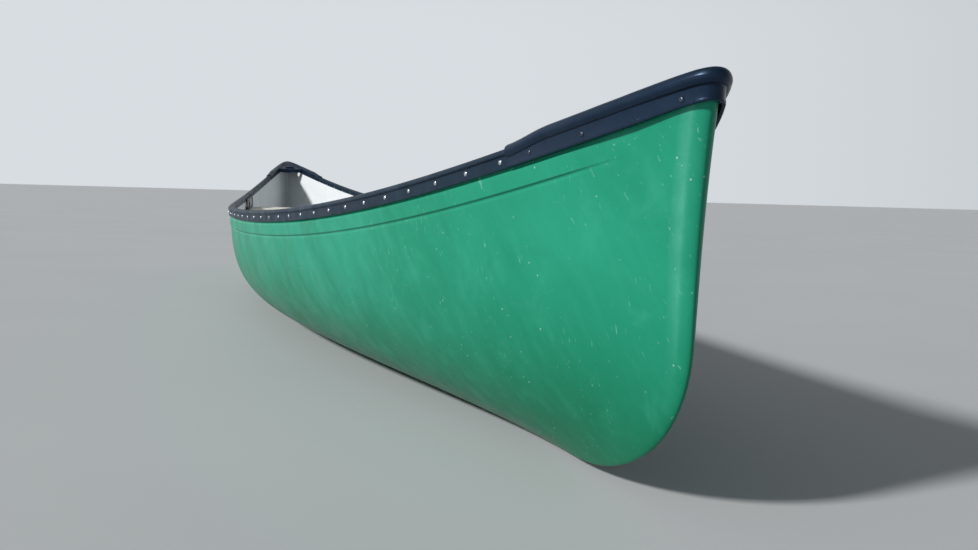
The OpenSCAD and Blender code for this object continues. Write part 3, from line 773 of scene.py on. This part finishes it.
def lathe(profile, count=20):
    """A solid turned about Z from [radius, height] points that start and end on the axis."""
    turns = np.linspace(0, 2 * math.pi, count, endpoint=False)
    rings = [np.stack([r * np.cos(turns), r * np.sin(turns), np.full(count, z)], axis=1)
             for r, z in profile[1:-1]]
    points = np.vstack([[[0, 0, profile[0][1]]], *rings, [[0, 0, profile[-1][1]]]])
    m = len(rings)
    faces = [(0, 1 + (j + 1) % count, 1 + j) for j in range(count)]
    faces += [(1 + i * count + j, 1 + i * count + (j + 1) % count, 1 + (i + 1) * count + (j + 1) % count,
               1 + (i + 1) * count + j) for i in range(m - 1) for j in range(count)]
    last = len(points) - 1
    faces += [(last, last - count + j, last - count + (j + 1) % count) for j in range(count)]
    return points, faces


def rivet(out, grip):
    """A blind rivet along +Z: swelled end, shank, and a domed head with a pulled stem in its middle."""
    profile = [[0, -grip - 3.5 * MM], [2.6 * MM, -grip - 3.2 * MM], [3.6 * MM, -grip - 1.6 * MM],
               [3.2 * MM, -grip], [SHANK_RADIUS, -grip], [SHANK_RADIUS, out], [HEAD_RADIUS, out],
               [HEAD_RADIUS, out + 0.35 * MM], [4 * MM, out + 0.95 * MM], [3.1 * MM, out + 1.6 * MM],
               [2 * MM, out + 1.95 * MM], [1.3 * MM, out + 1.9 * MM], [1.1 * MM, out + 1.4 * MM],
               [0, out + 1.4 * MM]]
    return lathe(profile)


def rivet_at(u, out, grip):
    """A rivet on the starboard side at a station."""
    step = 1e-4
    ahead, behind = sheer_path([u + step])[0], sheer_path([u - step])[0]
    turn = math.atan2(ahead[1] - behind[1], ahead[0] - behind[0])
    place = sheer_path([u])[0] - [0, 0, RIVET_DROP]
    outwards = Matrix.Rotation(turn, 4, "Z") @ Matrix.Rotation(math.pi / 2, 4, "X")
    matrix = Matrix.Translation(place) @ outwards
    points, faces = rivet(out, grip)
    return np.array([matrix @ Vector(p) for p in points]), faces


def gunwale_rivet_stations():
    us = np.linspace(0, 1, 400)
    path = sheer_path(us)
    length = np.concatenate([[0], np.cumsum(np.linalg.norm(np.diff(path, axis=0), axis=1))])
    reach = np.interp((GUNWALE_END - 20 * MM) / HALF_LENGTH, us, length)
    arcs = reach * np.linspace(-1, 1, RIVET_COUNT)
    return np.sign(arcs) * np.interp(np.abs(arcs), length, us)


def make_rivets():
    row = []
    for u in gunwale_rivet_stations():
        x = u * HALF_LENGTH
        held = (abs(x - BOW_SEAT_X) < SEAT_DEPTH / 2 or abs(x - STERN_SEAT_X) < SEAT_DEPTH / 2
                or abs(x) < BRACKET_HALF)
        row.append(rivet_at(u, SKIRT_OUT, HANGER_GRIP if held else GUNWALE_GRIP))
    row = joined(row)
    stand_for(make_object("starboard_rivets", *row, RIVET, 45), "rivet", "gunwale_rivets_starboard")
    stand_for(make_object("port_rivets", *mirrored(*row, 1), RIVET, 45), "rivet", "gunwale_rivets_port")
    side = joined([rivet_at(x / HALF_LENGTH, skirt_out_at(x / HALF_LENGTH), grip) for x, grip in DECK_RIVETS])
    both = joined([side, mirrored(*side, 1)])
    stand_for(make_object("bow_cap_rivets", *both, DARK_RIVET, 45), "rivet", "bow_deck_rivets")
    stand_for(make_object("stern_cap_rivets", *mirrored(*both, 0), DARK_RIVET, 45), "rivet",
              "stern_deck_rivets")


# ---- Seats ----

SEAT_SHELL = 4.6 * MM
SEAT_CORNER = 30 * MM
SEAT_EDGE = 11 * MM
SEAT_DISH = 9 * MM
SEAT_RIM_X = 15 * MM
SEAT_RIM_Y = 30 * MM
SEAT_GROOVES = (-0.5, -0.25, 0.0, 0.25, 0.5)
GROOVE_HALF_WIDTH = 3.2 * MM
SEAT_GROOVE_DEPTH = 1.8 * MM


def seat_points(centre, half_depth, half_bow, half_stern, top, rows=61, columns=91):
    """The seat's upper face as a grid: rounded corners and edges, a shallow dish and grip grooves."""
    a, b = np.meshgrid(np.linspace(-1, 1, rows), np.linspace(-1, 1, columns), indexing="ij")
    crowding = 1.62
    a = np.sign(a) * (1 - (1 - np.abs(a)) ** crowding)
    b = np.sign(b) * (1 - (1 - np.abs(b)) ** crowding)
    mean = (half_bow + half_stern) / 2
    x, y = a * half_depth, b * mean
    past_x = np.maximum(0, np.abs(x) - (half_depth - SEAT_CORNER))
    past_y = np.maximum(0, np.abs(y) - (mean - SEAT_CORNER))
    length = np.maximum(np.hypot(past_x, past_y), 1e-9)
    pull = np.where((past_x > 0) & (past_y > 0), np.maximum(past_x, past_y) / length, 1.0)
    x = np.sign(x) * (np.abs(x) - past_x + past_x * pull)
    y = np.sign(y) * (np.abs(y) - past_y + past_y * pull)
    corner = SEAT_CORNER - np.hypot(past_x * pull, past_y * pull)
    edge = np.where((past_x > 0) & (past_y > 0), corner,
                    np.minimum(half_depth - np.abs(x), mean - np.abs(y)))
    roll = np.clip(1 - edge / SEAT_EDGE, 0, 1)
    z = top - SEAT_EDGE * (1 - np.sqrt(1 - roll ** 2))
    dish = np.clip(1 - (x / (half_depth - SEAT_RIM_X)) ** 2, 0, 1)
    dish *= np.clip(1 - (y / (mean - SEAT_RIM_Y)) ** 4, 0, 1)
    z -= SEAT_DISH * dish ** 1.2
    for place in SEAT_GROOVES:
        groove = np.exp(-((x - place * half_depth * 1.3) / GROOVE_HALF_WIDTH) ** 2)
        z -= SEAT_GROOVE_DEPTH * groove * smooth(0, 0.35, dish)
    y *= 1 + (half_bow - half_stern) / (half_bow + half_stern) * x / half_depth
    return np.stack([x + centre, y, z], axis=2)


def make_seat(name, node):
    """A moulded bench that fills its CAD solid's trapezoid, as a closed shell with a turned-down lip."""
    cad_points = np.array([v.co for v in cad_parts[node].data.vertices])
    low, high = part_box(node)
    centre, half_depth = (low.x + high.x) / 2, (high.x - low.x) / 2
    corner_x = half_depth - SEAT_CORNER
    by_corner = [np.abs(cad_points[:, 0] - centre - side * corner_x) < 6 * MM for side in (1, -1)]
    half_bow, half_stern = (float(np.max(np.abs(cad_points[near, 1]))) for near in by_corner)
    lean = (half_bow - half_stern) / corner_x / 2 * SEAT_CORNER
    top = seat_points(centre, half_depth, half_bow + lean, half_stern - lean, high.z)
    rows, columns = top.shape[:2]
    faces = [(i * columns + j, (i + 1) * columns + j, (i + 1) * columns + j + 1, i * columns + j + 1)
             for i in range(rows - 1) for j in range(columns - 1)]
    points = list(top.reshape(-1, 3))
    rim = ([j for j in range(columns)] + [i * columns + columns - 1 for i in range(1, rows)]
           + [(rows - 1) * columns + j for j in range(columns - 2, -1, -1)]
           + [i * columns for i in range(rows - 2, 0, -1)])
    above = rim
    for height in np.linspace(high.z - SEAT_EDGE, low.z, 6)[1:]:
        below = list(range(len(points), len(points) + len(rim)))
        points += [np.array([points[k][0], points[k][1], height]) for k in rim]
        count = len(rim)
        for k in range(count):
            following = (k + 1) % count
            faces.append((above[k], above[following], below[following], below[k]))
        above = below
    seat = make_object(name, points, faces, SEAT, 60)
    shell = seat.modifiers.new("shell", "SOLIDIFY")
    shell.thickness = SEAT_SHELL
    shell.offset = -1
    shell.use_even_offset = True
    stand_for(seat, "seat_plastic", node)


# ---- Yoke ----

YOKE_THICKNESS = 20 * MM
YOKE_END = 12 * MM
YOKE_ROUNDING = 3 * MM
YOKE_SQUARENESS = 0.42
NECK_X = -0.092
NECK_RADIUS = 0.078


def make_yoke():
    """A carved wooden yoke: slim arms, a wide middle and a hollow for the neck."""
    low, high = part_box("centre_yoke")
    half = high.y
    arm = half - YOKE_END
    ys = np.concatenate([np.linspace(-half, -arm, 5)[:-1], np.linspace(-arm, arm, 120),
                         np.linspace(arm, half, 5)[1:]])
    knots_y = [0, 0.06, 0.105, 0.15, 0.19, 0.48 * half, 0.72 * half, half]
    knots_w = [0.0498, 0.0499, 0.050, 0.046, 0.036, 0.0275, 0.026, 0.032]
    turns = np.linspace(0, 2 * math.pi, 33)[:-1]
    rings = []
    for y in ys:
        width = curve_through(knots_y, knots_w, abs(y))
        neck = NECK_X + math.sqrt(max(0.0, NECK_RADIUS ** 2 - y * y))
        back = float(soft_max(-width, neck, 4 * MM))
        end = max(0.0, 1 - (half - abs(y)) / YOKE_END)
        shrink = YOKE_ROUNDING * end ** 2
        centre, half_width = (width + back) / 2, (width - back) / 2 - shrink
        half_height = YOKE_THICKNESS / 2 - shrink * 0.6
        x = centre + half_width * np.sign(np.cos(turns)) * np.abs(np.cos(turns)) ** YOKE_SQUARENESS
        up = np.sign(np.sin(turns)) * np.abs(np.sin(turns)) ** YOKE_SQUARENESS
        z = high.z - YOKE_THICKNESS / 2 + half_height * up
        rings.append(np.stack([x, np.full(len(turns), y), z], axis=1))
    points, faces = bar(np.array(rings))
    yoke = make_object("carrying_yoke", points, [tuple(reversed(face)) for face in faces], ASH, 50)
    stand_for(yoke, "wood", "centre_yoke")


# ---- CAD pieces that keep their shape ----

def finish_cad_pieces():
    """Metal brackets and fasteners keep their CAD meshes, with eased edges and real finishes."""
    finishes = {"hanger": (POWDER, "bracket", 0.8 * MM), "bracket": (POWDER, "bracket", 0.8 * MM),
                "bolts": (STEEL, "steel", 0.3 * MM), "nuts": (STEEL, "steel", 0.3 * MM)}
    for name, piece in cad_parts.items():
        for word, (material, slot, ease) in finishes.items():
            if word in name and not piece.hide_render:
                piece.data.materials.clear()
                piece.data.materials.append(material)
                bevel = piece.modifiers.new("eased_edges", "BEVEL")
                bevel.width = ease
                bevel.segments = 2
                bevel.limit_method = "ANGLE"
                bevel.angle_limit = math.radians(40)
                break


# ---- Studio ----

def sky_level(tree, towards, low, high, dim, bright):
    """Brightness that rises with how far a direction points towards another."""
    share = tree.nodes.new("ShaderNodeVectorMath")
    share.operation = "DOT_PRODUCT"
    share.inputs[1].default_value = towards
    tree.links.new(tree.nodes.new("ShaderNodeTexCoord").outputs["Generated"], share.inputs[0])
    level = tree.nodes.new("ShaderNodeMapRange")
    level.interpolation_type = "SMOOTHSTEP"
    for name, value in (("From Min", low), ("From Max", high), ("To Min", dim), ("To Max", bright)):
        level.inputs[name].default_value = value
    tree.links.new(share.outputs["Value"], level.inputs["Value"])
    return level.outputs[0]


def make_world():
    """A pale horizon that dims overhead and on the side away from the light."""
    world = bpy.data.worlds.new("studio")
    bpy.context.scene.world = world
    world.use_nodes = True
    tree = world.node_tree
    background = tree.nodes["Background"]
    background.inputs["Color"].default_value = (0.90, 0.95, 1.0, 1)
    product = tree.nodes.new("ShaderNodeMath")
    product.operation = "MULTIPLY"
    tree.links.new(sky_level(tree, (-0.9, -0.43, 0), -0.8, 0.8, 0.4, 1.0), product.inputs[0])
    tree.links.new(sky_level(tree, (0, 0, 1), 0.65, 0.15, 0.28, 0.76), product.inputs[1])
    tree.links.new(product.outputs[0], background.inputs["Strength"])


FLOOR_HALF = 300
SUN_DIRECTION = (0.2, -0.83, 0.53)


def make_studio():
    """A wide pale floor, a pale surround, and one soft main light high on the starboard side."""
    corners = [(x * FLOOR_HALF, y * FLOOR_HALF, 0) for x, y in ((-1, -1), (1, -1), (1, 1), (-1, 1))]
    make_object("floor", corners, [(0, 1, 2, 3)], pale_floor())
    make_world()
    light = bpy.data.lights.new("key", "SUN")
    light.energy = 3.6
    light.angle = math.radians(7)
    light.color = (1.0, 0.985, 0.955)
    lamp = bpy.data.objects.new("key", light)
    lamp.rotation_euler = Vector(SUN_DIRECTION).to_track_quat("Z", "Y").to_euler()
    bpy.context.scene.collection.objects.link(lamp)
    bpy.context.scene.view_settings.view_transform = "Standard"


def make_camera():
    """The camera stands low off the starboard bow and looks aft along the side."""
    place = (3.5362, -0.6626, 0.459)
    yaw, pitch, roll = math.radians(71.762), math.radians(-4.718), math.radians(1.566)
    camera = bpy.data.cameras.new("camera")
    camera.sensor_width = 36
    camera.lens = 35.49
    camera.clip_start = 0.01
    stand = bpy.data.objects.new("camera", camera)
    level = Matrix.Rotation(yaw, 4, "Z") @ Matrix.Rotation(math.pi / 2 + pitch, 4, "X")
    stand.matrix_world = Matrix.Translation(place) @ level @ Matrix.Rotation(roll, 4, "Z")
    bpy.context.scene.collection.objects.link(stand)
    bpy.context.scene.camera = stand


make_hull()
make_gunwales()
make_decks()
make_rivets()
make_seat("bow_bench", "bow_seat")
make_seat("stern_bench", "stern_seat")
make_yoke()
finish_cad_pieces()
make_camera()
make_studio()
